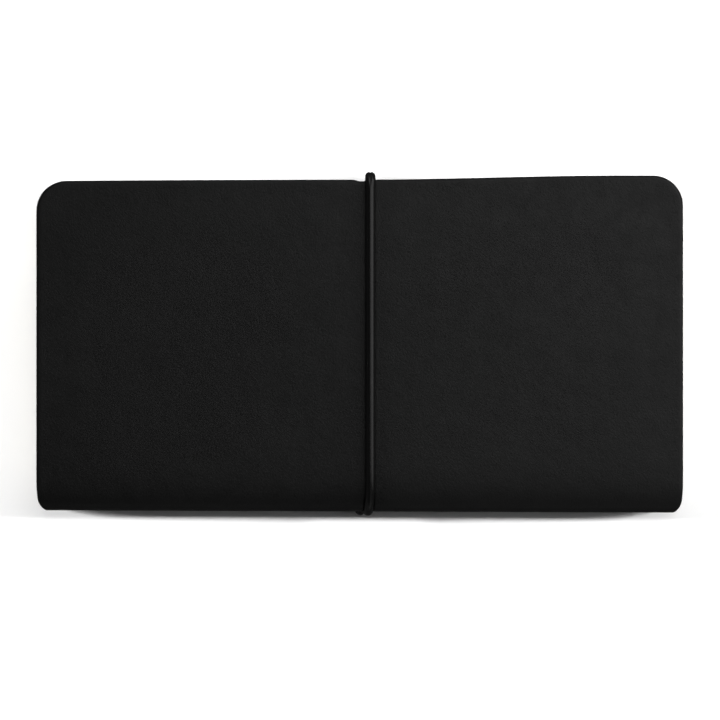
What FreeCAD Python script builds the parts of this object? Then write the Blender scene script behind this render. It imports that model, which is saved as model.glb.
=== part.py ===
import FreeCAD, Part
import math
import os
import Sketcher
from FreeCAD import Placement, Rotation, Vector

# A soft-cover sketchbook, closed and lying on its back cover.
# X runs along the spine, +Y from the spine to the fore-edge, +Z up. Millimetres.
# The spine is half round. The book opens by rolling the spine out from under the pages:
# the spine turns on an axis near its lower rounding, the front cover on one near its upper
# rounding, and each signature on its own fold.

SIZES = {
    "length": 210.0,  # along the spine
    "width": 108.0,  # spine to fore-edge
    "thickness": 19.0,  # outside of one cover to outside of the other
    "corner": 9.75,  # radius of the cover's fore-edge corners
    "leather": 1.0,
    "board": 2.2,
    "paste": 0.3,  # pastedown
    "paste_inset": 3.0,  # leather turn-in left showing round the pastedown
    "flyleaf": 0.2,
    "play": 0.05,  # gap between glued layers
    "through": 1.0,  # how far a cutting tool runs past what it cuts
    "board_gap": 1.0,  # board from the end of the rounding
    "paste_gap": 0.5,  # pastedown from the end of the rounding
    "hinge_end_inset": 1.0,  # each end of a cover's rounded edge
    "spine_end_inset": 2.4,  # each end of the spine
    "split_angle": 44.4,  # rounded edge of a cover, just short of the 45 degree split
    "spine_angle": 90.0,  # middle of the rounding, held by the spine
    "liner": 0.6,
    "liner_end_inset": 1.0,  # each end of the liner, from the spine's end
    "liner_angle": 76.0,
    "fold_depth": 6.0,  # outside of the spine to the folds
    "page_square": 3.5,  # cover overhang past the pages
    "page_corner": 8.0,
    "signatures": 8,
    "leaf_gap": 0.05,
    "fold_half": 0.33,  # half thickness of a signature at its fold
    "taper": 5.0,  # where a signature reaches its full thickness
    "gauze": 0.3,
    "gauze_depth": 4.4,
    "gauze_margin": 12.0,  # each end of the gauze, from the end of the pages
    "gauze_clearance": 0.3,  # above and below
    "thread_radius": 0.25,
    "thread_depth": 5.15,
    "band_radius": 0.9,
    "band_depth": 4.6,
    "band_inset": 0.4,  # middle of a headband from the end of the pages
    "flyleaf_guard": 1.5,  # a flyleaf starts this far past the folds
    "cord_radius": 1.5,
    "cord_press": 0.2,  # how far the cord sinks into the front cover
    "cord_x": 3.2,  # front run of the cord
    "cord_back_x": 0.0,  # back strand where it enters the spine
    "cord_stand_off": 1.1,  # centre of the cord outside the fore-edge
    "cord_fore_bend": 2.1,
    "cord_hole_bend": 3.5,
    "cord_low_bend": 8.0,
    "cord_flat_width": 4.4,  # back run, pressed flat under the book
    "cord_flat_height": 2.0,
    "cord_fore_lap": 0.6,  # the flat run reaches into the round ones
    "cord_spine_lap": 0.8,
    "cord_clearance": 0.1,
    "track_play": 0.1,  # track past each side of the cord
    "track_wall": 0.7,  # leather at each side of the cord
    "track_height": 1.7,  # leather that lines the track, over the outer skin
    "track_run_in": 1.2,
    "notch_lap": 0.2,
    "notch_run_out": 3.0,
    "clip_length": 8.4,
    "clip_height": 5.0,
    "clip_thickness": 1.0,
    "clip_depth": 3.2,
}
THREAD_STATIONS = 6

size = dict(SIZES)
size["spine_radius"] = size["thickness"] / 2
size["block_low"] = size["leather"] + size["board"] + size["paste"] + size["flyleaf"]
size["block_low"] += 2 * size["play"]
size["pitch"] = (size["thickness"] - 2 * size["block_low"]) / size["signatures"]
size["leaf_half"] = (size["pitch"] - size["leaf_gap"]) / 2
size["page_half"] = size["length"] / 2 - size["page_square"]
size["page_depth"] = size["width"] - size["page_square"] - size["fold_depth"]

# The cord stands further out at the fore-edge than at the spine, and the origin is
# under the middle of the whole object, cord included.
hole_arm = size["spine_radius"] + size["cord_radius"] - size["cord_hole_bend"]
hole_turn = math.acos(size["cord_hole_bend"] / hole_arm)
cord_spine_proud = hole_arm * math.sin(hole_turn) + size["cord_hole_bend"] + size["cord_radius"]
cord_spine_proud -= size["spine_radius"]
cord_fore_proud = size["cord_stand_off"] + size["cord_radius"]
size["spine_y"] = -(size["width"] + cord_fore_proud - cord_spine_proud) / 2
size["fore_y"] = size["spine_y"] + size["width"]
size["round_y"] = size["spine_y"] + size["spine_radius"]

doc = FreeCAD.newDocument("sketchbook")
sheet = doc.addObject("Spreadsheet::Sheet", "sizes")
for row, (alias, value) in enumerate(size.items(), 1):
    sheet.set("A%d" % row, alias)
    sheet.set("B%d" % row, repr(round(value, 6)))
    sheet.setAlias("B%d" % row, alias)
doc.recompute()

SHEET_NAME = "sizes."


def bound(text):
    """Words in text that are sizes, written as cells of the sheet."""
    out = []
    for word in text.split():
        out.append(SHEET_NAME + word if word in size else word)
    return " ".join(out)


def amount(text):
    """The value of a product or sum of sizes, for a first placing of sketch geometry."""
    total = doc.getObject("sizes").evalExpression(bound(text))
    return float(getattr(total, "Value", total))


def bind(thing, **properties):
    for name, text in properties.items():
        thing.setExpression(name.replace("__", "."), bound(text))


def place(thing, **axes):
    for axis, text in axes.items():
        thing.setExpression("Placement.Base." + axis, bound(text))


def new_body(label, plane_role):
    body = doc.addObject("PartDesign::Body", label)
    body.Label = label
    plane = next(f for f in body.Origin.OriginFeatures if f.Role == plane_role)
    sketch = body.newObject("Sketcher::SketchObject", label + "_sketch")
    sketch.AttachmentSupport = [(plane, "")]
    sketch.MapMode = "FlatFace"
    return body, sketch


def fix_point(sketch, line, across, up):
    """Tie the start of a line to the sketch origin with two bound distances."""
    for kind, text in (("DistanceX", across), ("DistanceY", up)):
        if text is None:
            continue
        number = sketch.addConstraint(
            Sketcher.Constraint(kind, -1, 1, line, 1, amount(text))
        )
        sketch.setExpression("Constraints[%d]" % number, bound(text))


def join_ends(sketch, count):
    for line in range(count):
        nxt = (line + 1) % count
        sketch.addConstraint(Sketcher.Constraint("Coincident", line, 2, nxt, 1))


def pad(body, sketch, thickness, both_ways=False):
    feature = body.newObject("PartDesign::Pad", sketch.Name + "_pad")
    feature.Profile = sketch
    if both_ways:
        feature.Midplane = True
    bind(feature, Length=thickness)
    doc.recompute()
    return feature


def round_far_corners(body, feature, far, radius):
    """Round the two upright edges that stand at the far end of a plate."""
    names = []
    for number, edge in enumerate(feature.Shape.Edges, 1):
        middle = edge.BoundBox
        upright = middle.ZLength > 1e-3 and middle.XLength < 1e-6 and middle.YLength < 1e-6
        if upright and abs(middle.Center.y - amount(far)) < 1e-3:
            names.append("Edge%d" % number)
    fillet = body.newObject("PartDesign::Fillet", body.Name + "_corners")
    fillet.Base = (feature, names)
    bind(fillet, Radius=radius)
    body.Tip = fillet


def plate(label, half, near, far, low, thickness, corner=None):
    """A flat plate, even about the YZ plane, with its far corners rounded."""
    body, sketch = new_body(label, "XY_Plane")
    corners = [
        ("- ( " + half + " )", near),
        (half, near),
        (half, far),
        ("- ( " + half + " )", far),
    ]
    points = [Vector(amount(x), amount(y), 0) for x, y in corners]
    for line in range(4):
        sketch.addGeometry(Part.LineSegment(points[line], points[(line + 1) % 4]), False)
    join_ends(sketch, 4)
    for line, kind in enumerate(("Horizontal", "Vertical", "Horizontal", "Vertical")):
        sketch.addConstraint(Sketcher.Constraint(kind, line))
    fix_point(sketch, 0, *corners[0])
    fix_point(sketch, 2, *corners[2])
    feature = pad(body, sketch, thickness)
    if corner:
        round_far_corners(body, feature, far, corner)
    place(body, z=low)
    return body


def round_band(label, half, outer, wall, start, sweep):
    """A strip of the half-round spine, from start degrees, counted from +Y towards +Z."""
    turn = Rotation(Vector(1, 1, 1), 120).multiply(Rotation(Vector(0, 0, 1), start))
    solids = []
    for suffix, radius in (("_outside", outer), ("_inside", outer + " - " + wall)):
        rod = doc.addObject("Part::Cylinder", label + suffix)
        bind(rod, Radius=radius, Height="2 * ( " + half + " )", Angle=sweep)
        rod.Placement = Placement(Vector(0, 0, 0), turn)
        place(rod, x="- ( " + half + " )", y="round_y", z="spine_radius")
        solids.append(rod)
    return cut(label, solids[0], solids[1])


def cut(label, base, tool):
    out = doc.addObject("Part::Cut", label)
    out.Label = label
    out.Base = base
    out.Tool = tool
    return out


def fuse(label, pieces):
    out = doc.addObject("Part::MultiFuse", label)
    out.Label = label
    out.Shapes = pieces
    return out


def box(label, long_x, long_y, long_z, turn=0.0, **axes):
    out = doc.addObject("Part::Box", label)
    out.Label = label
    bind(out, Length=long_x, Width=long_y, Height=long_z)
    out.Placement = Placement(Vector(0, 0, 0), Rotation(Vector(0, 0, 1), turn))
    place(out, **axes)
    return out


def solid_feature(label, shape):
    out = doc.addObject("Part::Feature", label)
    out.Label = label
    out.Shape = shape
    return out


# ---------------------------------------------------------------- elastic cord

def cord_lines():
    """Centre lines of the two round stretches of the cord, and the ends of its flat run."""
    spine = size["spine_y"]
    fore = size["fore_y"]
    centre = Vector(0, size["round_y"], size["spine_radius"])
    ring = size["spine_radius"] + size["cord_radius"]
    bend = size["cord_hole_bend"]
    inside = spine + size["clip_depth"]

    front = Vector(size["cord_x"], 0, 0)
    out_to = Vector(0, -math.sin(hole_turn), math.cos(hole_turn))
    bend_middle = centre + out_to * hole_arm
    mouth = bend_middle + Vector(0, 0, -bend)
    leave = centre + out_to * ring
    half_way = (Vector(0, 0, -1) + out_to).normalize()
    top = size["thickness"] + size["cord_radius"] - size["cord_press"]
    top_centre = Vector(0, centre.y, top - ring)
    press = Vector(0, 0, -size["cord_press"])
    over = (out_to + Vector(0, 0, 1)).normalize()
    fore_bend = size["cord_fore_bend"]
    outside = fore + size["cord_stand_off"]
    turn_y = outside - fore_bend
    low = size["cord_radius"]
    slant = math.sqrt(0.5) * fore_bend
    upper = [
        ("line", Vector(0, inside, mouth.z), mouth),
        ("arc", mouth, bend_middle + half_way * bend, leave),
        ("arc", leave, centre + over * ring + press * 0.5, top_centre + Vector(0, 0, ring)),
        ("line", top_centre + Vector(0, 0, ring), Vector(0, turn_y, top)),
        (
            "arc",
            Vector(0, turn_y, top),
            Vector(0, turn_y + slant, top - fore_bend + slant),
            Vector(0, outside, top - fore_bend),
        ),
        ("line", Vector(0, outside, top - fore_bend), Vector(0, outside, low + fore_bend)),
        (
            "arc",
            Vector(0, outside, low + fore_bend),
            Vector(0, turn_y + slant, low + fore_bend - slant),
            Vector(0, turn_y, low),
        ),
    ]

    # The back strand leaves the flat run, rises on a wide arc and turns into the hole.
    wide = size["cord_low_bend"]
    small = Vector(0, bend_middle.y, 2 * centre.z - bend_middle.z)
    rise = wide - bend
    drop = small.z - low - wide
    wide_y = small.y + math.sqrt(rise * rise - drop * drop)
    wide_middle = Vector(0, wide_y, low + wide)
    touch_way = (small - wide_middle).normalize()
    touch = wide_middle + touch_way * wide
    under = (touch_way + Vector(0, 0, -1)).normalize()
    into = (touch_way + Vector(0, 0, 1)).normalize()
    back_mouth = small + Vector(0, 0, bend)
    flat_end = centre.y - size["play"]
    lower = [
        ("line", Vector(0, flat_end, low), Vector(0, wide_y, low)),
        ("arc", Vector(0, wide_y, low), wide_middle + under * wide, touch),
        ("arc", touch, small + into * bend, back_mouth),
        ("line", back_mouth, Vector(0, inside, back_mouth.z)),
    ]
    back = Vector(size["cord_back_x"], 0, 0)
    return (
        [(kind, *[p + front for p in points]) for kind, *points in upper],
        [(kind, *[p + back for p in points]) for kind, *points in lower],
        Vector(size["cord_x"], turn_y, 0),
        Vector(size["cord_back_x"], flat_end, 0),
    )


def wire_of(pieces):
    edges = []
    for kind, *points in pieces:
        if kind == "line":
            edges.append(Part.LineSegment(*points).toShape())
        else:
            edges.append(Part.Arc(*points).toShape())
    return Part.Wire(edges)


def tube(wire, radius):
    start = wire.Edges[0]
    along = start.tangentAt(start.FirstParameter)
    ring = Part.Wire(Part.makeCircle(radius, start.valueAt(start.FirstParameter), along))
    return wire.makePipeShell([ring], True, True)


UPPER, LOWER, FLAT_START, FLAT_END = cord_lines()
flat_way = FLAT_END - FLAT_START
FLAT_LENGTH = flat_way.Length
flat_turn = math.degrees(math.atan2(-flat_way.x, flat_way.y)) + 180.0


def flat_run():
    """The stretch under the book: flat below and above, round at its sides."""
    half = size["cord_flat_height"] / 2
    side = size["cord_flat_width"] / 2 - half
    along = Vector(flat_way).normalize()
    across = Vector(along.y, -along.x, 0)
    start = FLAT_START - along * size["cord_fore_lap"]
    up = Vector(0, 0, half)
    middle = start + up
    right = middle + across * side
    left = middle - across * side
    outline = Part.Wire(
        [
            Part.LineSegment(left - up, right - up).toShape(),
            Part.Arc(right - up, right + across * half, right + up).toShape(),
            Part.LineSegment(right + up, left + up).toShape(),
            Part.Arc(left + up, left - across * half, left - up).toShape(),
        ]
    )
    laps = size["cord_fore_lap"] + size["cord_spine_lap"]
    return Part.Face(outline).extrude(flat_way + along * laps)


def cord_solid(extra=0.0):
    radius = size["cord_radius"] + extra
    return [tube(wire_of(UPPER), radius), tube(wire_of(LOWER), radius)]


round_parts = cord_solid()
elastic = solid_feature("elastic_cord", round_parts[0].multiFuse([round_parts[1], flat_run()]))
clearance = solid_feature(
    "cord_room", Part.makeCompound(cord_solid(size["cord_clearance"]))
)
print("cord lengths", [round(wire_of(p).Length, 2) for p in (UPPER, LOWER)], flat_way.Length)
cord_area = math.pi * size["cord_radius"] ** 2
print("cord volume", elastic.Shape.Volume, "as a round cord", elastic.Shape.Volume / cord_area)

# ---------------------------------------------------------------- covers


def trough(label, widen, low, tall, near, far):
    """A straight bar along the flat run of the cord, wider than it by widen each side."""
    length = abs(flat_way.y) + near + far
    width = size["cord_flat_width"] / 2 + widen
    out = box(label, "%r" % (2 * width), "%r" % length, tall, turn=flat_turn)
    along = Vector(flat_way).normalize()
    across = Vector(-along.y, along.x, 0)
    corner = FLAT_END + along * near - across * width
    out.setExpression("Placement.Base.x", "%r" % corner.x)
    out.setExpression("Placement.Base.y", "%r" % corner.y)
    place(out, z=low)
    return out


def cover(side, outer_low, cavity_low, board_low, paste_low, band_start):
    tray = "leather + board"
    shell = plate(side + "_tray", "length / 2", "round_y", "fore_y", outer_low, tray, "corner")
    cavity = plate(
        side + "_cavity",
        "length / 2 - leather",
        "round_y - through",
        "fore_y - leather",
        cavity_low,
        "board",
        "corner - leather",
    )
    edge = round_band(
        side + "_rounding",
        "length / 2 - hinge_end_inset",
        "spine_radius",
        "leather",
        band_start,
        "split_angle",
    )
    board = plate(
        side + "_board_blank",
        "length / 2 - leather - play",
        "round_y + board_gap",
        "fore_y - leather - play",
        board_low,
        "board - play",
        "corner - leather",
    )
    paste = plate(
        side + "_pastedown",
        "length / 2 - paste_inset",
        "round_y + paste_gap",
        "fore_y - paste_inset",
        paste_low,
        "paste",
        "corner - paste_inset",
    )
    hollow = cut(side + "_tray_hollow", shell, cavity)
    return hollow, edge, board, paste


back_hollow, back_edge, back_board_blank, back_paste = cover(
    "back", "0", "leather", "leather", "leather + board", 270.0 - size["split_angle"]
)
front_hollow, front_edge, front_board, front_paste = cover(
    "front",
    "thickness - leather - board",
    "thickness - leather - board",
    "thickness - leather - board + play",
    "thickness - leather - board - paste",
    90.0,
)
front_board.Label = "front_board"

# The back run of the cord lies in a pressed track, so that the book lies flat.
# The leather lines the track, and the board has a groove for it.
play, wall, past = size["play"], size["track_wall"], 2 * size["through"]
run_in, run_out = size["track_run_in"], size["notch_run_out"]
notch_start = size["notch_lap"] - FLAT_LENGTH
track_play = size["track_play"]
lining = trough("track_lining", wall, "leather", "track_height", -play, -2 * play)
groove = trough("track_groove", wall + play, "leather", "track_height + play", past, past)
track = trough(
    "track", track_play, "- through", "cord_flat_height + through + play", run_in, 0.0
)
fore_notch = trough(
    "fore_notch", track_play, "- through", "leather + board + 2 * through", notch_start, run_out
)

back_skin = fuse("back_skin", [back_hollow, back_edge, lining])
back_cuts = fuse("back_cuts", [track, fore_notch])
back_tracked = cut("back_tracked", back_skin, back_cuts)
back_leather = cut("back_cover_leather", back_tracked, clearance)
back_board = cut("back_board", back_board_blank, groove)
front_skin = fuse("front_skin", [front_hollow, front_edge])
front_leather = cut("front_cover_leather", front_skin, clearance)

# ---------------------------------------------------------------- spine

spine_band = round_band(
    "spine_band",
    "length / 2 - spine_end_inset",
    "spine_radius",
    "leather",
    180.0 - size["spine_angle"] / 2,
    "spine_angle",
)
spine_leather = cut("spine_leather", spine_band, clearance)
liner_band = round_band(
    "liner_band",
    "length / 2 - spine_end_inset - liner_end_inset",
    "spine_radius - leather - play",
    "liner",
    180.0 - size["liner_angle"] / 2,
    "liner_angle",
)
spine_liner = cut("spine_liner", liner_band, clearance)
clip = box(
    "elastic_end_clip",
    "clip_length",
    "clip_thickness",
    "clip_height",
    x="( cord_x + cord_back_x - clip_length ) / 2",
    y="spine_y + clip_depth",
    z="spine_radius - clip_height / 2",
)
gauze = box(
    "spine_gauze",
    "2 * page_half - 2 * gauze_margin",
    "gauze",
    "thickness - 2 * block_low - 2 * gauze_clearance",
    x="gauze_margin - page_half",
    y="spine_y + gauze_depth",
    z="block_low + gauze_clearance",
)


def upright_rod(label, radius, x, y):
    out = doc.addObject("Part::Cylinder", label)
    out.Label = label
    bind(out, Radius=radius, Height="thickness - 2 * block_low")
    place(out, x=x, y=y, z="block_low")
    return out


head_band = upright_rod(
    "head_band", "band_radius", "band_inset - page_half", "spine_y + band_depth"
)
tail_band = upright_rod(
    "tail_band", "band_radius", "page_half - band_inset", "spine_y + band_depth"
)
links = []
for station in range(THREAD_STATIONS):
    along = "( 2 * %d - %d ) / %d" % (station, THREAD_STATIONS - 1, THREAD_STATIONS)
    links.append(
        upright_rod(
            "stitch_%d" % (station + 1),
            "thread_radius",
            "page_half * " + along,
            "spine_y + thread_depth",
        )
    )
thread = doc.addObject("Part::Compound", "sewing_thread")
thread.Label = "sewing_thread"
thread.Links = links

# ---------------------------------------------------------------- pages


def signature(number):
    """A folded gathering: thin and round at its fold, full thickness after the taper."""
    label = "signature_%d" % number
    body, sketch = new_body(label, "YZ_Plane")
    fold, half = size["fold_half"], size["leaf_half"]
    taper, depth = size["taper"], size["page_depth"]
    arc = Part.ArcOfCircle(
        Part.Circle(Vector(0, 0, 0), Vector(0, 0, 1), fold), math.pi / 2, 3 * math.pi / 2
    )
    corners = [(0, -fold), (taper, -half), (depth, -half), (depth, half), (taper, half)]
    corners.append((0, fold))
    points = [Vector(across, up, 0) for across, up in corners]
    for line in range(5):
        sketch.addGeometry(Part.LineSegment(points[line], points[line + 1]), False)
    sketch.addGeometry(arc, False)
    join_ends(sketch, 6)
    sketch.addConstraint(Sketcher.Constraint("Coincident", 5, 3, -1, 1))
    fix_point(sketch, 0, None, "- fold_half")
    sketch.addConstraint(Sketcher.Constraint("PointOnObject", 0, 1, -2))
    sketch.addConstraint(Sketcher.Constraint("PointOnObject", 4, 2, -2))
    fix_point(sketch, 1, "taper", "- leaf_half")
    fix_point(sketch, 2, "page_depth", "- leaf_half")
    fix_point(sketch, 3, "page_depth", "leaf_half")
    fix_point(sketch, 4, "taper", "leaf_half")
    feature = pad(body, sketch, "2 * page_half", both_ways=True)
    round_far_corners(body, feature, "page_depth", "page_corner")
    place(
        body,
        y="spine_y + fold_depth",
        z="block_low + pitch * ( %d - 0.5 )" % number,
    )
    return body


signatures = [signature(number + 1) for number in range(int(size["signatures"]))]


def flyleaf(label, low):
    return plate(
        label,
        "page_half",
        "spine_y + fold_depth + flyleaf_guard",
        "fore_y - page_square",
        low,
        "flyleaf",
        "page_corner",
    )


back_flyleaf = flyleaf("back_flyleaf", "leather + board + paste + play")
front_flyleaf = flyleaf(
    "front_flyleaf", "thickness - leather - board - paste - play - flyleaf"
)

# ---------------------------------------------------------------- check and write

doc.recompute()
for thing in doc.Objects:
    if "Invalid" in thing.State or "Error" in thing.State:
        raise RuntimeError("%s is %s" % (thing.Label, thing.State))

kept = [
    back_leather,
    back_board,
    back_paste,
    elastic,
    spine_leather,
    spine_liner,
    clip,
    gauze,
    head_band,
    tail_band,
    thread,
    front_leather,
    front_board,
    front_paste,
    back_flyleaf,
    front_flyleaf,
] + signatures
for thing in kept:
    if thing.Shape.isNull() or not thing.Shape.isValid():
        raise RuntimeError("%s has no valid shape" % thing.Label)

os.makedirs("parts", exist_ok=True)
for thing in kept:
    thing.Shape.exportStep("parts/%s.step" % thing.Label)
    reach = thing.Shape.BoundBox
    print(
        "%-20s solids %d  volume %9.1f  y %7.2f %7.2f  z %6.2f %6.2f"
        % (
            thing.Label,
            len(thing.Shape.Solids),
            thing.Shape.Volume,
            reach.YMin,
            reach.YMax,
            reach.ZMin,
            reach.ZMax,
        )
    )
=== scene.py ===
import math
import random

import bpy
import bmesh
from mathutils import Matrix, Vector


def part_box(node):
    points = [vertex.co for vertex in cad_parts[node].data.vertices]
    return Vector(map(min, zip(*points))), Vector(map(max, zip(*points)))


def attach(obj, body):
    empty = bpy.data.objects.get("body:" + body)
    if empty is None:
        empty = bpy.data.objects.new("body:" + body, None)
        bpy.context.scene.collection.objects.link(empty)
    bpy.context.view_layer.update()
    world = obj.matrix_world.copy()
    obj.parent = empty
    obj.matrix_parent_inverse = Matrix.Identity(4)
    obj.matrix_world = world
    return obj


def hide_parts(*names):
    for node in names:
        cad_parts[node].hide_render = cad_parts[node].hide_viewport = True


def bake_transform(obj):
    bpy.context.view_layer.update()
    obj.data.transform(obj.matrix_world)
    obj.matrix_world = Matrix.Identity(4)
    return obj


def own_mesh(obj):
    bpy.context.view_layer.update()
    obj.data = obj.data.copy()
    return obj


# A closed black leatherette sketchbook, lying on its back cover.
# Shapes are worked out in millimetres and turned into metres when a mesh is made.

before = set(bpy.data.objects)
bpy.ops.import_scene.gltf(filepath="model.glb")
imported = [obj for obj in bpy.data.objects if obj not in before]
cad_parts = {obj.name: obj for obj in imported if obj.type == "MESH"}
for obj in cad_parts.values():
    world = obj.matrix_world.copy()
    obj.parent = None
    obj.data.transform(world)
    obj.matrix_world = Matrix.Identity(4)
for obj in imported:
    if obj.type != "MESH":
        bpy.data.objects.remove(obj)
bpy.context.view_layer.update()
MM = 0.001
random.seed(7)


def box_mm(node):
    low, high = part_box(node)
    return Vector(low) / MM, Vector(high) / MM


front_high = box_mm("front_cover_leather")[1]
spine_low = box_mm("spine_leather")[0]
cord_high = box_mm("elastic_cord")[1]
page_low, page_high = box_mm("signature_1")

HALF_LENGTH = front_high.x
THICKNESS = front_high.z
FORE_Y = front_high.y
SPINE_Y = spine_low.y
WIDTH = FORE_Y - SPINE_Y
ROUND = THICKNESS / 2
MIDDLE_Z = THICKNESS / 2

# The cover.
CORNER = 9.75  # corner radius at the fore-edge
LEATHER = 0.9  # thickness of the skin
COVER_DEPTH = 3.16  # from the outer face to the end of the turned-in leather
EDGE_INSET = 2.5  # where the flat face ends and the rolled edge begins
EDGE_ROLL = 1.05  # radius on the outer side of a rolled edge
UNDER_ROLL = 1.2  # radius on its inner side
SPINE_RUN = 20.0  # depth over which the face rounds into the spine
SQUARENESS = 4.0  # power of the superellipse of that rounding
SPINE_TAPER = 0.9  # how much shorter the spine is at each end
TAPER_RUN = 10.0  # depth over which it gets shorter
END_ROUND = 1.2  # how much shorter still its middle is
END_ROUND_RUN = 3.5
SETTLE = 0.18  # how far the face sinks inside its edges
RIGHT_SWELL = 1.35  # how much wider the cover is right of its middle
LEFT_SHRINK = 0.45  # how much narrower it is at its left end
SPINE_SKEW = 0.4  # how far the back of the spine is askew at each end
PINCH = 0.5  # how far the fore-edge is pulled in beside the cord
PINCH_OFFSET = 2.4  # how far left of the cord that is deepest

# How the leather gives way under the cord.
PRESS_REACH = (1.0, 2.2)  # along the row, from pressed to free
PRESS_ROUND = (0.5, 1.9)  # across, under the round cord
PRESS_FLAT = (1.9, 2.9)  # across, under the flattened cord
PRESS_MOST = (0.85, 2.0)  # deepest at the hole and on the flat
PRESS_HEIGHTS = (4.5, 6.5)  # where one turns into the other
PRESS_PLAY = 0.03

# The elastic cord.
CORD_RADIUS = 1.5
CORD_X = 3.45  # its place on the front cover
CORD_SPINE_X = 2.95  # where the front strand meets the spine
CORD_BACK_X = 0.0  # where the back strand meets it
FLAT_HALF_WIDTH = 2.15
FLAT_HALF_HEIGHT = 0.98
FLAT_PLAY = 0.01  # what keeps the flattened run off the table
FORE_BEND = 2.1  # bend radius at the fore-edge
HOLE_DEPTH = 3.2  # how far the strands are drawn into the spine
FRONT_CLOSING = 1.75  # how far each strand moves towards the other at the hole
BACK_CLOSING = 0.85
STRAND_OUT = {1: 0.3, -1: 0.7}  # how far the front and back strands stand out there
# Each strand inside the hole: share of the way in, share of its height that is left.
STRAND_INSIDE = ((0.0, 0.84), (0.1, 0.66), (0.36, 0.53), (0.68, 0.48), (1.0, 0.46))


def smooth(value, low, high):
    t = min(1.0, max(0.0, (value - low) / (high - low)))
    return t * t * (3 - 2 * t)


def mix(a, b, t):
    return a + (b - a) * t


# ---------------------------------------------------------------- mesh helpers

SHARP_ANGLE = 50


def mesh_object(name, points, faces, material, uvs=None):
    mesh = bpy.data.meshes.new(name)
    mesh.from_pydata([tuple(Vector(p) * MM) for p in points], [], faces)
    mesh.update()
    if uvs is not None:
        layer = mesh.uv_layers.new(name="length_and_turn")
        for loop in mesh.loops:
            layer.data[loop.index].uv = uvs[loop.index]
    for face in mesh.polygons:
        face.use_smooth = True
    piece = bpy.data.objects.new(name, mesh)
    bpy.context.scene.collection.objects.link(piece)
    mesh.materials.append(material)
    return piece


def grid_faces(rows, columns):
    """Faces between rows of points, each row with the same number of points."""
    faces = []
    for row in range(rows - 1):
        for column in range(columns - 1):
            a = row * columns + column
            faces.append((a, a + 1, a + 1 + columns, a + columns))
    return faces


def tube_faces(rings, sides):
    """Faces of a closed tube of rings of points, then its two ends."""
    faces = []
    for ring in range(rings - 1):
        for side in range(sides):
            a, b = ring * sides + side, ring * sides + (side + 1) % sides
            faces.append((a, b, b + sides, a + sides))
    faces.append(tuple(reversed(range(sides))))
    faces.append(tuple(range((rings - 1) * sides, rings * sides)))
    return faces


def apply_modifiers(piece):
    bpy.context.view_layer.update()
    graph = bpy.context.evaluated_depsgraph_get()
    mesh = bpy.data.meshes.new_from_object(piece.evaluated_get(graph))
    piece.modifiers.clear()
    piece.data = mesh


def face_outward(piece, wrong_way=None):
    """Turn every face outwards; wrong_way(work) says that an open sheet came out reversed."""
    work = bmesh.new()
    work.from_mesh(piece.data)
    bmesh.ops.recalc_face_normals(work, faces=work.faces)
    work.faces.ensure_lookup_table()
    if wrong_way and wrong_way(work):
        bmesh.ops.reverse_faces(work, faces=work.faces)
    work.to_mesh(piece.data)
    work.free()
    piece.data.update()


def thicken(piece, depth, offset=-1.0):
    """Give a sheet its thickness; offset -1 is inwards and 0 is both ways."""
    shell = piece.modifiers.new("thickness", "SOLIDIFY")
    shell.thickness = depth * MM
    shell.offset = offset
    shell.use_quality_normals = True
    apply_modifiers(piece)
    face_outward(piece)
    piece.data.set_sharp_from_angle(angle=math.radians(SHARP_ANGLE))


# ---------------------------------------------------------------- materials


class Nodes:
    """Short calls for the nodes of one material."""

    def __init__(self, name):
        self.material = bpy.data.materials.new(name)
        self.material.use_nodes = True
        self.tree = self.material.node_tree
        self.shader = self.tree.nodes["Principled BSDF"]

    def add(self, kind, inputs=None, **settings):
        node = self.tree.nodes.new(kind)
        for key, value in settings.items():
            setattr(node, key, value)
        for key, value in (inputs or {}).items():
            self.link_or_set(value, node.inputs[key])
        return node

    def link_or_set(self, value, socket):
        if isinstance(value, bpy.types.NodeSocket):
            self.tree.links.new(value, socket)
        else:
            socket.default_value = value

    def shade(self, **inputs):
        for key, value in inputs.items():
            self.link_or_set(value, self.shader.inputs[key.replace("_", " ")])

    def place(self, scale=(1, 1, 1), uv=False):
        source = self.add("ShaderNodeTexCoord").outputs["UV" if uv else "Object"]
        return self.add("ShaderNodeMapping", {"Vector": source, "Scale": scale}).outputs[0]

    def noise(self, where, scale, detail=3.0, roughness=0.55):
        inputs = {"Vector": where, "Scale": scale, "Detail": detail, "Roughness": roughness}
        return self.add("ShaderNodeTexNoise", inputs).outputs[0]

    def cells(self, where, scale, feature):
        inputs = {"Vector": where, "Scale": scale, "Randomness": 1.0}
        return self.add("ShaderNodeTexVoronoi", inputs, feature=feature).outputs[0]

    def ramp(self, value, low, high, low_at=0.3, high_at=0.7):
        node = self.add("ShaderNodeValToRGB", {"Fac": value})
        node.color_ramp.elements[0].position = low_at
        node.color_ramp.elements[1].position = high_at
        node.color_ramp.elements[0].color = (*low, 1)
        node.color_ramp.elements[1].color = (*high, 1)
        return node.outputs[0]

    def span(self, value, low, high, low_to, high_to):
        inputs = {"Value": value, 1: low, 2: high, 3: low_to, 4: high_to}
        return self.add("ShaderNodeMapRange", inputs).outputs[0]

    def math(self, operation, first, second=0.0):
        return self.add("ShaderNodeMath", {0: first, 1: second}, operation=operation).outputs[0]

    def bump(self, height, strength, distance, normal=None):
        inputs = {"Height": height, "Strength": strength, "Distance": distance}
        if normal is not None:
            inputs["Normal"] = normal
        return self.add("ShaderNodeBump", inputs).outputs[0]


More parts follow.
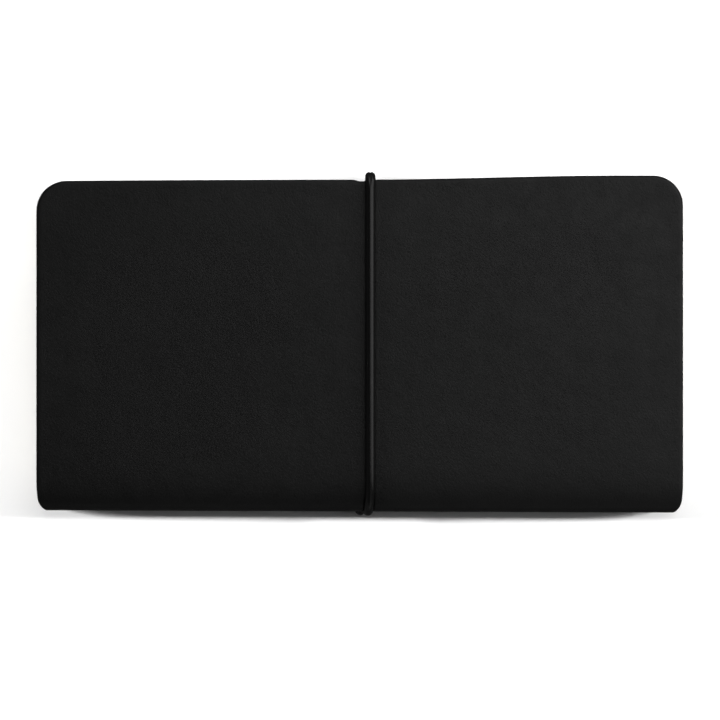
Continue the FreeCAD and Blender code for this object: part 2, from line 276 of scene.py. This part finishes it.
def leather_material():
    """Fine pebbles with creases between them, on a softly uneven board."""
    pebbles, creases, pores, board_waves = 1500.0, 950.0, 4200.0, 95.0  # all per metre
    colour_clouds, sheen_patches = 28.0, 160.0
    n = Nodes("black leatherette")
    where = n.place()
    pebble = n.cells(where, pebbles, "SMOOTH_F1")
    crease = n.span(n.cells(where, creases, "DISTANCE_TO_EDGE"), 0.0, 0.12, 0.0, 1.0)
    fine = n.noise(where, pores, 4.0, 0.6)
    cloud = n.noise(where, colour_clouds, 3.0)
    patches = n.noise(where, sheen_patches, 4.0)
    height = n.math("ADD", n.math("MULTIPLY", pebble, -0.55), n.math("MULTIPLY", crease, 0.24))
    height = n.math("ADD", height, n.math("MULTIPLY", fine, 0.35))
    uneven = n.bump(n.noise(where, board_waves, 4.0), 0.5, 0.0004)
    n.shade(
        Base_Color=n.ramp(cloud, (0.0018, 0.0018, 0.0018), (0.0028, 0.0028, 0.0028)),
        Roughness=n.span(patches, 0.3, 0.7, 0.41, 0.54),
        Normal=n.bump(height, 0.5, 0.00012, uneven),
        Specular_IOR_Level=0.42,
    )
    return n.material


def elastic_material():
    """A braid of threads that cross both ways round the cord; UV is length and turn."""
    along_scale = 5200.0  # radians per metre
    threads_round = 16
    n = Nodes("braided black elastic")
    where = n.place(uv=True)
    parts = n.add("ShaderNodeSeparateXYZ", {"Vector": where})
    along, turn = parts.outputs[0], parts.outputs[1]
    weaves = []
    for way in (1.0, -1.0):
        lengthwise = n.math("MULTIPLY", along, along_scale)
        crosswise = n.math("MULTIPLY", turn, way * threads_round * math.pi)
        phase = n.math("ADD", lengthwise, crosswise)
        weaves.append(n.math("ABSOLUTE", n.math("SINE", phase)))
    height = n.math("MAXIMUM", weaves[0], weaves[1])
    sheen_patches = 420.0
    patches = n.noise(n.place(), sheen_patches, 3.0)
    # Painted shade: the base colour is darker in the hollows between the crossing threads.
    n.shade(
        Base_Color=n.ramp(height, (0.0008, 0.0008, 0.0008), (0.002, 0.002, 0.002), 0.2, 1.0),
        Roughness=n.span(patches, 0.3, 0.7, 0.20, 0.26),
        Normal=n.bump(height, 0.35, 0.00006),
        Specular_IOR_Level=0.5,
    )
    return n.material


def paper_material(name, low, high, sheet_gap_shade):
    """Matt fibrous paper; if asked, it paints shade between its sheets as darker lines on the
    faces that look sideways.
    """
    fibres, clouds, sheet_lines = 2600.0, 60.0, (6.0, 6.0, 5200.0)
    n = Nodes(name)
    where = n.place()
    fibre = n.noise(where, fibres, 5.0, 0.7)
    colour = n.ramp(n.noise(where, clouds, 3.0), low, high)
    if sheet_gap_shade:
        # Painted shade: darker lines between the sheets, multiplied into the colour on the
        # sideways faces.
        lines = n.noise(n.place(scale=sheet_lines), 1.0, 2.0, 0.5)
        shade = n.ramp(lines, (0.62, 0.59, 0.54), (1.0, 1.0, 1.0), 0.34, 0.52)
        facing = n.add("ShaderNodeTexCoord").outputs["Normal"]
        upward = n.add("ShaderNodeSeparateXYZ", {"Vector": facing}).outputs[2]
        on_edge = n.span(n.math("ABSOLUTE", upward), 0.3, 0.7, 1.0, 0.0)
        colour = n.add(
            "ShaderNodeMix",
            {"Factor": on_edge, 6: colour, 7: shade},
            data_type="RGBA",
            blend_type="MULTIPLY",
        ).outputs[2]
    n.shade(
        Base_Color=colour,
        Roughness=n.span(fibre, 0.3, 0.7, 0.82, 0.95),
        Normal=n.bump(fibre, 0.25, 0.00005),
        Specular_IOR_Level=0.25,
    )
    return n.material


def card_material():
    flecks_per_metre = 1800.0
    n = Nodes("grey bookbinding board")
    flecks = n.noise(n.place(), flecks_per_metre, 5.0, 0.75)
    n.shade(
        Base_Color=n.ramp(flecks, (0.22, 0.20, 0.17), (0.42, 0.39, 0.34)),
        Roughness=0.92,
        Normal=n.bump(flecks, 0.4, 0.0001),
    )
    return n.material


def weave_material(name, low, high, threads_per_metre, roughness=0.85):
    n = Nodes(name)
    parts = n.add("ShaderNodeSeparateXYZ", {"Vector": n.place()})
    waves = []
    for axis in (0, 2):
        phase = n.math("MULTIPLY", parts.outputs[axis], threads_per_metre * 2 * math.pi)
        waves.append(n.math("ABSOLUTE", n.math("SINE", phase)))
    height = n.math("MULTIPLY", waves[0], waves[1])
    # Painted shade: the base colour is darker in the gaps between the threads; in the open gauze
    # the gaps are partly the board behind showing through.
    n.shade(
        Base_Color=n.ramp(height, low, high, 0.05, 0.6),
        Roughness=roughness,
        Normal=n.bump(height, 0.6, 0.0001),
    )
    return n.material


def steel_material():
    scratch_scale = (40.0, 40.0, 2600.0)
    n = Nodes("stamped steel clip")
    scratches = n.noise(n.place(scale=scratch_scale), 1.0, 3.0)
    n.shade(
        Base_Color=n.ramp(scratches, (0.42, 0.42, 0.43), (0.62, 0.62, 0.62)),
        Metallic=1.0,
        Roughness=n.span(scratches, 0.3, 0.7, 0.28, 0.42),
        Normal=n.bump(scratches, 0.2, 0.00003),
    )
    return n.material


LEATHERETTE = leather_material()
ELASTIC = elastic_material()
PAPER = paper_material("cream drawing paper", (0.74, 0.70, 0.60), (0.82, 0.78, 0.68), True)
ENDPAPER = paper_material("cream endpaper", (0.70, 0.65, 0.55), (0.78, 0.73, 0.62), False)
BOARD = card_material()
GAUZE = weave_material("open spine gauze", (0.30, 0.28, 0.24), (0.78, 0.75, 0.68), 700.0)
BAND = weave_material("woven black band", (0.006, 0.006, 0.007), (0.05, 0.05, 0.055), 1100.0, 0.6)
THREAD = weave_material("waxed linen thread", (0.52, 0.48, 0.40), (0.82, 0.79, 0.70), 1500.0, 0.7)
STEEL = steel_material()


def dress(node, material):
    """Give a CAD node that stays its finished material."""
    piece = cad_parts[node]
    piece.data.materials.clear()
    piece.data.materials.append(material)


# ---------------------------------------------------------------- elastic cord


def spine_section(depth):
    """Height over the middle, and outward normal (y, z), of the soft rounded edge at the
    spine, at a distance from the back of the spine."""
    share = 1 - min(1.0, depth / SPINE_RUN)
    height = (1 - share ** SQUARENESS) ** (1 / SQUARENESS)
    power = SQUARENESS - 1
    normal = Vector((0, -share ** power / SPINE_RUN, height ** power / ROUND))
    return ROUND * height, normal.normalized()


def arc_points(centre, radius, start, end, count):
    """Points (y, z) round a centre, angles in degrees from +Y towards +Z."""
    out = []
    for step in range(count + 1):
        angle = math.radians(mix(start, end, step / count))
        out.append((centre[0] + radius * math.cos(angle), centre[1] + radius * math.sin(angle)))
    return out


def into_hole(side, lift):
    """Centre line (y, z) of one strand, from flat on the cover to the hole in the spine."""
    first, count = 5, 16
    out = []
    for step in reversed(range(first, count + 1)):
        depth = SPINE_RUN * (step / count) ** 3
        height, normal = spine_section(depth)
        away = mix(STRAND_OUT[side], lift, smooth(depth, 0.4, 7.0))
        y = SPINE_Y + depth + normal.y * away
        z = MIDDLE_Z + side * (height + normal.z * away)
        out.append((y, z))
    drop = side * (z - MIDDLE_Z)
    for inward, height in STRAND_INSIDE:
        out.append((mix(y, SPINE_Y + HOLE_DEPTH, inward), MIDDLE_Z + side * drop * height))
    return out


def cord_route():
    """Centre line (x, y, z) of the whole loop, from the hole in the spine over the front
    cover, round the fore-edge, under the back cover and back into the hole."""
    round_y = SPINE_Y + SPINE_RUN
    top = cord_high.z - CORD_RADIUS
    outside = cord_high.y - CORD_RADIUS
    upper_bend = (FORE_TURN_Y, top - FORE_BEND)
    lower_bend = (FORE_TURN_Y, FORE_BEND + CORD_RADIUS)
    long_steps, short_steps, bend_steps = 60, 12, 10
    section = list(reversed(into_hole(1, top - THICKNESS)))
    for step in range(1, long_steps):
        section.append((mix(round_y, FORE_TURN_Y, step / long_steps), top))
    section += arc_points(upper_bend, FORE_BEND, 90, 0, bend_steps)
    for step in range(1, short_steps):
        section.append((outside, mix(upper_bend[1], lower_bend[1], step / short_steps)))
    section += arc_points(lower_bend, FORE_BEND, 0, -90, bend_steps)
    upper = len(section)
    for step in range(1, long_steps):
        section.append((mix(FORE_TURN_Y, round_y, step / long_steps), CORD_RADIUS))
    section += into_hole(-1, -CORD_RADIUS)
    route = []
    for index, (y, z) in enumerate(section):
        share = (FORE_Y - y) / WIDTH
        at_spine = smooth(share, 0.9, 0.95)
        if index < upper:
            x = mix(CORD_X, CORD_SPINE_X, smooth(share, 0.93, 1.0))
            x -= FRONT_CLOSING * smooth(THICKNESS - z, 3.0, 8.0) * at_spine
            flat = 0.0
        else:
            x = mix(CORD_X, CORD_BACK_X, min(1.0, max(0.0, share / 0.9)))
            x += BACK_CLOSING * smooth(z, 3.0, 8.0) * at_spine
            flat = smooth(y, round_y - 6.0, round_y)
            flat *= 1 - smooth(y, FORE_TURN_Y - 1.5, FORE_TURN_Y)
            z = max(z, CORD_RADIUS)
        z -= flat * (CORD_RADIUS - FLAT_HALF_HEIGHT - FLAT_PLAY)
        route.append((Vector((x, y, z)), flat))
    return route


FORE_TURN_Y = cord_high.y - CORD_RADIUS - FORE_BEND
ROUTE = cord_route()


def elastic_cord():
    """The round braid, pressed flat under the book and creased where it turns."""
    sides = 36
    widening, crease_depth, crease_width = 0.13, 0.22, 0.2
    centres = [centre for centre, flat in ROUTE]
    flats = [flat for centre, flat in ROUTE]
    points, loops = [], []
    travelled = [0.0]
    for index in range(1, len(centres)):
        travelled.append(travelled[-1] + (centres[index] - centres[index - 1]).length)
    for index, centre in enumerate(centres):
        ahead = centres[min(index + 1, len(centres) - 1)]
        behind = centres[max(index - 1, 0)]
        along = (ahead - behind).normalized()
        across = Vector((1, 0, 0)) - along * along.x
        across.normalize()
        up = along.cross(across)
        wide = mix(CORD_RADIUS, FLAT_HALF_WIDTH, flats[index])
        tall = mix(CORD_RADIUS, FLAT_HALF_HEIGHT, flats[index])
        folded = smooth(centre.y, FORE_TURN_Y - 1.6, FORE_TURN_Y + 1.2)
        wide *= 1 + widening * folded
        for side in range(sides):
            angle = 2 * math.pi * side / sides
            off_outer = (angle - 1.5 * math.pi) / crease_width
            crease = 1 - crease_depth * folded * math.exp(-off_outer * off_outer)
            offset = across * (wide * math.cos(angle)) + up * (tall * math.sin(angle))
            points.append(centre + offset * crease)
    for ring in range(len(centres) - 1):
        near, far = travelled[ring] * MM, travelled[ring + 1] * MM
        for side in range(sides):
            left, right = side / sides, (side + 1) / sides
            loops += [(near, left), (near, right), (far, right), (far, left)]
    loops += [(0.0, 0.0)] * (2 * sides)
    faces = tube_faces(len(centres), sides)
    piece = mesh_object("elastic_cord_loop", points, faces, ELASTIC, loops)
    face_outward(piece)
    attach(piece, "back_cover")
    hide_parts("elastic_cord")
    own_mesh(piece)


# ---------------------------------------------------------------- leather cover


def outline_rows():
    """Rows of a cover from the middle of the spine to near the fore-edge: distance from the
    spine, height over the middle, inward normal, half length and angle round the corner."""
    spine_rows, flat_rows, corner_rows = 34, 40, 14
    corner_start = WIDTH - CORNER
    inner_corner = CORNER - EDGE_INSET
    down = Vector((0, 0, -1))
    rows = []
    for step in range(spine_rows):
        depth = SPINE_RUN * (step / spine_rows) ** 3
        height, normal = spine_section(depth)
        rows.append((depth, height, -normal))
    for step in range(flat_rows):
        rows.append((mix(SPINE_RUN, corner_start, step / flat_rows), ROUND, down))
    out = []
    for depth, height, inward in rows:
        taper = SPINE_TAPER * (1 - min(1.0, depth / TAPER_RUN)) ** 2
        taper += END_ROUND * (1 - min(1.0, depth / END_ROUND_RUN)) ** 2
        half = HALF_LENGTH - EDGE_INSET - taper
        out.append((depth, height, inward, half, 0.0))
    for step in range(corner_rows + 1):
        angle = math.pi / 2 * step / corner_rows
        depth = corner_start + inner_corner * math.sin(angle)
        half = HALF_LENGTH - CORNER + inner_corner * math.cos(angle)
        out.append((depth, ROUND, down, half, angle))
    return out


def column_shares():
    """Places of the columns as shares of the half length, close together by the cord."""
    count, fine_start, fine_end, fine_step = 56, -6.0, 10.0, 0.3
    limit = HALF_LENGTH - EDGE_INSET
    places = set()
    for step in range(count + 1):
        places.add(round(-limit + 2 * limit * step / count, 3))
    place = fine_start
    while place <= fine_end:
        places.add(round(place, 3))
        place += fine_step
    return [place / limit for place in sorted(places)]


def edge_profile():
    """The rolled edge of a cover as (outward, inward depth) from the row's last point."""
    steps = 6
    out = [(0.45, 0.0)]
    for step in range(steps + 1):
        angle = math.pi / 2 * step / steps
        outward = EDGE_INSET - EDGE_ROLL + EDGE_ROLL * math.sin(angle)
        out.append((outward, EDGE_ROLL - EDGE_ROLL * math.cos(angle)))
    for step in range(1, steps + 1):
        angle = math.pi / 2 * step / steps
        outward = EDGE_INSET - UNDER_ROLL + UNDER_ROLL * math.cos(angle)
        out.append((outward, COVER_DEPTH - UNDER_ROLL + UNDER_ROLL * math.sin(angle)))
    out += [(turned_in, COVER_DEPTH) for turned_in in (0.4, -1.0, -2.6)]
    return out


def cord_overlap(side, depth, height, inward):
    """How deep the cord presses into a row of the cover, its x there and how flat it is."""
    surface = Vector((0, SPINE_Y + depth, MIDDLE_Z + side * height))
    normal = Vector((0, inward.y, side * inward.z))
    nearest, press, middle, flatness = 1e9, 0.0, 0.0, 0.0
    for centre, flat in ROUTE:
        if side * (centre.z - MIDDLE_Z) < 0:
            continue
        gap = centre - surface
        gap.x = 0
        sunk = gap.dot(normal)
        lateral = (gap - normal * sunk).length
        if lateral < nearest and abs(sunk) < 4 * CORD_RADIUS:
            tall = mix(CORD_RADIUS, FLAT_HALF_HEIGHT, flat)
            nearest, press, middle, flatness = lateral, sunk + tall, centre.x, flat
    limit = mix(*PRESS_MOST, smooth(height, *PRESS_HEIGHTS))
    press = min(limit, max(0.0, press)) * (1 - smooth(nearest, *PRESS_REACH))
    return press, middle, flatness


def warp(x, depth):
    """The soft cover is a little wider towards its right end."""
    share = x / HALF_LENGTH
    fore = smooth(depth, 40.0, WIDTH)
    back = 1 - smooth(depth, 0.0, 30.0)
    swell = RIGHT_SWELL * smooth(share, 0.0, 0.8) - LEFT_SHRINK * min(share, 0.0) ** 2
    return swell * fore - SPINE_SKEW * share * back


def leather_skin(side, name, nodes):
    """One soft skin: the whole face of a cover, half the spine, and the rolled edges."""
    rows = outline_rows()
    shares = column_shares()
    wide = len(shares)
    last = len(rows) - 1
    presses = [cord_overlap(side, depth, height, inward) for depth, height, inward, _, _ in rows]
    points = []

    def place(x, depth, height, inward, sink):
        y = SPINE_Y + depth + inward.y * sink + warp(x, depth)
        z = MIDDLE_Z + side * (height + inward.z * sink)
        return Vector((x, y, z))

    def press_at(x, row):
        amount, centre, flat = presses[row]
        near = mix(PRESS_ROUND[0], PRESS_FLAT[0], flat)
        far = mix(PRESS_ROUND[1], PRESS_FLAT[1], flat)
        return (amount + PRESS_PLAY) * (1 - smooth(abs(x - centre), near, far))

    for row, (depth, height, inward, half, _) in enumerate(rows):
        for share in shares:
            x = share * half
            crown = SETTLE * smooth(half - abs(x), 0.0, 14.0)
            crown *= smooth(WIDTH - depth, 2.0, 16.0) * smooth(depth, 4.0, 16.0)
            sink = press_at(x, row) + SETTLE * smooth(depth, 2.0, 14.0) - crown
            points.append(place(x, depth, height, inward, sink))
    faces = grid_faces(len(rows), wide)

    # The border runs from the spine up the left end, along the fore-edge and down the right.
    border = [(row, 0) for row in range(last)]
    border += [(last, column) for column in range(wide)]
    border += [(row, wide - 1) for row in reversed(range(last))]
    previous = [row * wide + column for row, column in border]
    for outward, sunk in edge_profile():
        ring = []
        for row, column in border:
            depth, height, inward, half, angle = rows[row]
            x = shares[column] * half
            deep = sunk * mix(0.6, 1.0, smooth(depth, 2.0, 9.5))
            settle = SETTLE * smooth(depth, 2.0, 14.0) * (1 - sunk / COVER_DEPTH)
            here = place(x, depth, height, inward, deep + settle)
            if row == last:
                # The fore-edge is pinched a little beside the cord, and pressed under it.
                beside = 1 - smooth(abs(x - CORD_X + PINCH_OFFSET), 0.8, 3.6)
                notch = PINCH * beside * smooth(outward, 0.5, 2.0)
                here.z -= side * press_at(x, row) * (1 - smooth(sunk, 0.0, 2.6))
                here.y += outward - notch
            else:
                here.x += math.copysign(math.cos(angle), x) * outward
                here.y += math.sin(angle) * outward
            ring.append(len(points))
            points.append(here)
        for index in range(len(border) - 1):
            faces.append((previous[index], previous[index + 1], ring[index + 1], ring[index]))
        previous = ring
    piece = mesh_object(name, points, faces, LEATHERETTE)
    on_face = len(rows) // 2 * (wide - 1) + 5
    face_outward(piece, lambda work: work.faces[on_face].normal.z * side < 0)
    thicken(piece, LEATHER)
    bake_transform(piece)
    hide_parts(*nodes)


def cover_leather():
    leather_skin(
        1,
        "leather_front_and_upper_spine",
        ("front_cover_leather", "spine_leather"),
    )
    leather_skin(
        -1,
        "leather_back_and_lower_spine",
        ("back_cover_leather", "spine_leather"),
    )


# ---------------------------------------------------------------- pages

SIGNATURES = 8
SHEETS = 4  # folded sheets in a signature
LEAF = 0.145
FOLD_HALF = 0.33  # half height of a signature at its fold
FULL_HALF = (page_high.z - page_low.z) / 2
PAGE_HALF = page_high.x
PAGE_CORNER = 8.0
PAGE_TAPER = 5.0  # depth over which a signature opens to its full height
PAGE_COLUMNS = 9
CORNER_STEPS = 9
CREEP = (-0.16, 0.04)  # how unevenly the sheets end at the fore-edge


def page_half_length(depth, length):
    """Half length of a page, depth from its fold, with its outer corners rounded."""
    into = depth - (length - PAGE_CORNER)
    if into <= 0:
        return PAGE_HALF
    return PAGE_HALF - PAGE_CORNER + math.sqrt(max(0.0, PAGE_CORNER ** 2 - into ** 2))


def corner_depths(length):
    """Depths that follow the round corners at the far end of a page."""
    start = length - PAGE_CORNER
    turn = math.pi / 2 / CORNER_STEPS
    return [start + PAGE_CORNER * math.sin(turn * step) for step in range(1, CORNER_STEPS + 1)]


def page_depths(length):
    """Depths from just past the fold to the fore-edge, close together near the fold."""
    by_fold, flat_steps = [0.8, 1.8, 3.2, 5.0, 8.0], 5
    start = length - PAGE_CORNER
    flat = [mix(by_fold[-1], start, step / flat_steps) for step in range(1, flat_steps + 1)]
    return by_fold + flat + corner_depths(length)


def page_mesh(name, section, length, y, z, material, thickness, creep=0.0):
    """A sheet whose section is (depth, height) from y and z, as wide as a page all along."""
    points = []
    for depth, height in section:
        half = page_half_length(depth, length)
        stretch = creep * smooth(depth, 20.0, length)
        for column in range(PAGE_COLUMNS):
            share = 2 * column / (PAGE_COLUMNS - 1) - 1
            points.append((share * half, y + depth + stretch, z + height))
    piece = mesh_object(name, points, grid_faces(len(section), PAGE_COLUMNS), material)
    thicken(piece, thickness, 0.0)
    return piece


def folded_sheet(fold_y, fold_z, order):
    """One sheet of a signature, folded in half; order 0 is the outermost."""
    play, fold_steps = 0.01, 6
    full = FULL_HALF - LEAF / 2 - play - order * (FULL_HALF - play) / SHEETS
    fold = full * FOLD_HALF / FULL_HALF
    length = page_high.y - fold_y
    creep = random.uniform(*CREEP)
    half_section = []
    for depth in page_depths(length):
        half_section.append((depth, mix(fold, full, smooth(depth, 0.0, PAGE_TAPER))))
    section = [(depth, -height) for depth, height in reversed(half_section)]
    for step in range(fold_steps + 1):
        angle = -math.pi / 2 - math.pi * step / fold_steps
        section.append((fold * math.cos(angle), fold * math.sin(angle)))
    section += half_section
    return page_mesh("sheet", section, length, fold_y, fold_z, PAPER, LEAF, creep)


def join(name, pieces):
    """Make one object of several pieces of the same material."""
    work = bmesh.new()
    for piece in pieces:
        work.from_mesh(piece.data)
    mesh = bpy.data.meshes.new(name)
    work.to_mesh(mesh)
    work.free()
    mesh.materials.append(pieces[0].data.materials[0])
    joined = bpy.data.objects.new(name, mesh)
    bpy.context.scene.collection.objects.link(joined)
    for piece in pieces:
        bpy.data.objects.remove(piece)
    return joined


def signatures():
    for number in range(1, SIGNATURES + 1):
        node = "signature_%d" % number
        low, high = box_mm(node)
        fold_y, fold_z = low.y + FOLD_HALF, (low.z + high.z) / 2
        sheets = [folded_sheet(fold_y, fold_z, order) for order in range(SHEETS)]
        piece = join("%s_sheets" % node, sheets)
        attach(piece, node)
        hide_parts(node)


# ---------------------------------------------------------------- small parts


def flyleaf(node, body):
    """The free half of an endpaper, one flat sheet."""
    low, high = box_mm(node)
    length = high.y - low.y
    depths = [length * share for share in (0.0, 0.15, 0.4, 0.7)] + [length - PAGE_CORNER]
    section = [(depth, 0.0) for depth in depths + corner_depths(length)]
    name, middle = "%s_sheet" % node, (low.z + high.z) / 2
    piece = page_mesh(name, section, length, low.y, middle, ENDPAPER, high.z - low.z)
    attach(piece, body)
    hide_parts(node)


def woven_band(node):
    """A headband: a core wrapped in close turns of thread."""
    low, high = box_mm(node)
    centre = (low + high) / 2
    radius = (high.x - low.x) / 2
    turns, per_turn, sides, groove = 22, 8, 14, 0.1
    rings = turns * per_turn
    points = []
    for ring in range(rings + 1):
        z = mix(low.z, high.z, ring / rings)
        for side in range(sides):
            angle = 2 * math.pi * side / sides
            wrap = 2 * math.pi * ring / per_turn + angle
            here = radius * (1 - groove + groove * abs(math.sin(wrap / 2)))
            x = centre.x + here * math.cos(angle)
            points.append((x, centre.y + here * math.sin(angle), z))
    piece = mesh_object("%s_wrapped" % node, points, tube_faces(rings + 1, sides), BAND)
    face_outward(piece)
    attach(piece, "spine")
    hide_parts(node)


def small_parts():
    for side in ("front", "back"):
        dress(side + "_board", BOARD)
        dress(side + "_pastedown", ENDPAPER)
    dress("spine_liner", BOARD)
    dress("spine_gauze", GAUZE)
    dress("sewing_thread", THREAD)
    dress("elastic_end_clip", STEEL)
    flyleaf("back_flyleaf", "signature_1")
    flyleaf("front_flyleaf", "signature_%d" % SIGNATURES)
    woven_band("head_band")
    woven_band("tail_band")


# ---------------------------------------------------------------- studio


def area_light(name, place, target, power, size_x, size_y, glossy=False):
    """A soft light; its width runs with the X axis and its height with the Y axis."""
    lamp = bpy.data.lights.new(name, "AREA")
    lamp.energy = power
    lamp.shape = "RECTANGLE"
    lamp.size = size_x
    lamp.size_y = size_y
    thing = bpy.data.objects.new(name, lamp)
    back = (Vector(place) - Vector(target)).normalized()
    up = back.cross(Vector((1, 0, 0))).normalized()
    side = up.cross(back)
    turn = Matrix((side, up, back)).transposed()
    thing.matrix_world = Matrix.Translation(place) @ turn.to_4x4()
    thing.visible_glossy = glossy
    thing.visible_camera = False
    bpy.context.scene.collection.objects.link(thing)
    return thing


def glowing_world():
    """White to the camera, and otherwise dim with a soft glow low down on both long sides."""
    dim, side_glow, glow_top = 0.03, 0.26, 0.42
    world = bpy.data.worlds.new("studio")
    world.use_nodes = True
    tree = world.node_tree
    background = tree.nodes["Background"]
    background.inputs["Color"].default_value = (1, 1, 1, 1)
    direction = tree.nodes.new("ShaderNodeTexCoord").outputs["Generated"]
    parts = tree.nodes.new("ShaderNodeSeparateXYZ")
    low_down = tree.nodes.new("ShaderNodeMapRange")
    low_down.inputs["From Max"].default_value = glow_top
    low_down.inputs["To Min"].default_value = side_glow
    low_down.inputs["To Max"].default_value = 0.0
    to_side = tree.nodes.new("ShaderNodeMath")
    to_side.operation = "MULTIPLY"
    glow = tree.nodes.new("ShaderNodeMath")
    glow.operation = "MULTIPLY_ADD"
    glow.inputs[2].default_value = dim
    path = tree.nodes.new("ShaderNodeLightPath")
    strength = tree.nodes.new("ShaderNodeMapRange")
    strength.inputs["To Max"].default_value = 1.0
    tree.links.new(direction, parts.inputs[0])
    tree.links.new(parts.outputs["Z"], low_down.inputs["Value"])
    tree.links.new(parts.outputs["Y"], to_side.inputs[0])
    tree.links.new(parts.outputs["Y"], to_side.inputs[1])
    tree.links.new(to_side.outputs[0], glow.inputs[0])
    tree.links.new(low_down.outputs[0], glow.inputs[1])
    tree.links.new(glow.outputs[0], strength.inputs["To Min"])
    tree.links.new(path.outputs["Is Camera Ray"], strength.inputs["Value"])
    tree.links.new(strength.outputs[0], background.inputs["Strength"])
    bpy.context.scene.world = world


def floor_material():
    """White paper, much darker in reflections, so that black edges stay black."""
    white, in_reflections = (0.92, 0.92, 0.92, 1), (0.045, 0.045, 0.045, 1)
    n = Nodes("white floor")
    n.shade(Base_Color=white, Roughness=0.9, Specular_IOR_Level=0.1)
    grey = n.add("ShaderNodeBsdfDiffuse", {"Color": in_reflections}).outputs[0]
    glossy_ray = n.add("ShaderNodeLightPath").outputs["Is Glossy Ray"]
    choice = n.add("ShaderNodeMixShader", {0: glossy_ray, 1: n.shader.outputs[0], 2: grey})
    n.link_or_set(choice.outputs[0], n.tree.nodes["Material Output"].inputs["Surface"])
    return n.material


def floor():
    half = 3.0
    corners = [(-half, -half, 0), (half, -half, 0), (half, half, 0), (-half, half, 0)]
    mesh = bpy.data.meshes.new("floor")
    mesh.from_pydata(corners, [], [(0, 1, 2, 3)])
    mesh.materials.append(floor_material())
    thing = bpy.data.objects.new("floor", mesh)
    bpy.context.scene.collection.objects.link(thing)
    thing.visible_diffuse = False


def lights():
    """The softbox and two cards make the sheen; the fills only light the floor and paper."""
    middle = (0, 0, 0)
    area_light("softbox", (0.43, 0.19, 0.50), (0, 0.03, 0), 2.1, 1.10, 0.60, True)
    area_light("left fill", (-1.6, 0.13, 0.75), middle, 46.0, 0.8, 0.10)
    area_light("right fill", (1.6, 0.13, 0.75), middle, 42.0, 0.8, 0.10)
    area_light("far fill", (0.0, 1.6, 0.75), middle, 14.0, 1.4, 0.4)
    area_light("far card", (0.25, 1.1, 0.7), middle, 0.9, 0.9, 0.5, True)
    strip = area_light("near strip", (0.20, -0.44, 0.34), middle, 0.10, 0.28, 0.70, True)
    strip.visible_diffuse = False


def camera_above():
    """Straight down, far enough away for the photograph's flat perspective."""
    distance, view_width, aim_x, aim_y = 1.2, 0.23356, 0.0001, -0.0048
    camera = bpy.data.cameras.new("camera")
    camera.sensor_width = 36.0
    camera.lens = camera.sensor_width * distance / view_width
    thing = bpy.data.objects.new("camera", camera)
    thing.location = (aim_x, aim_y, THICKNESS * MM + distance)
    bpy.context.scene.collection.objects.link(thing)
    bpy.context.scene.camera = thing


bpy.context.scene.view_settings.view_transform = "Standard"
glowing_world()
floor()
lights()
camera_above()
elastic_cord()
cover_leather()
signatures()
small_parts()
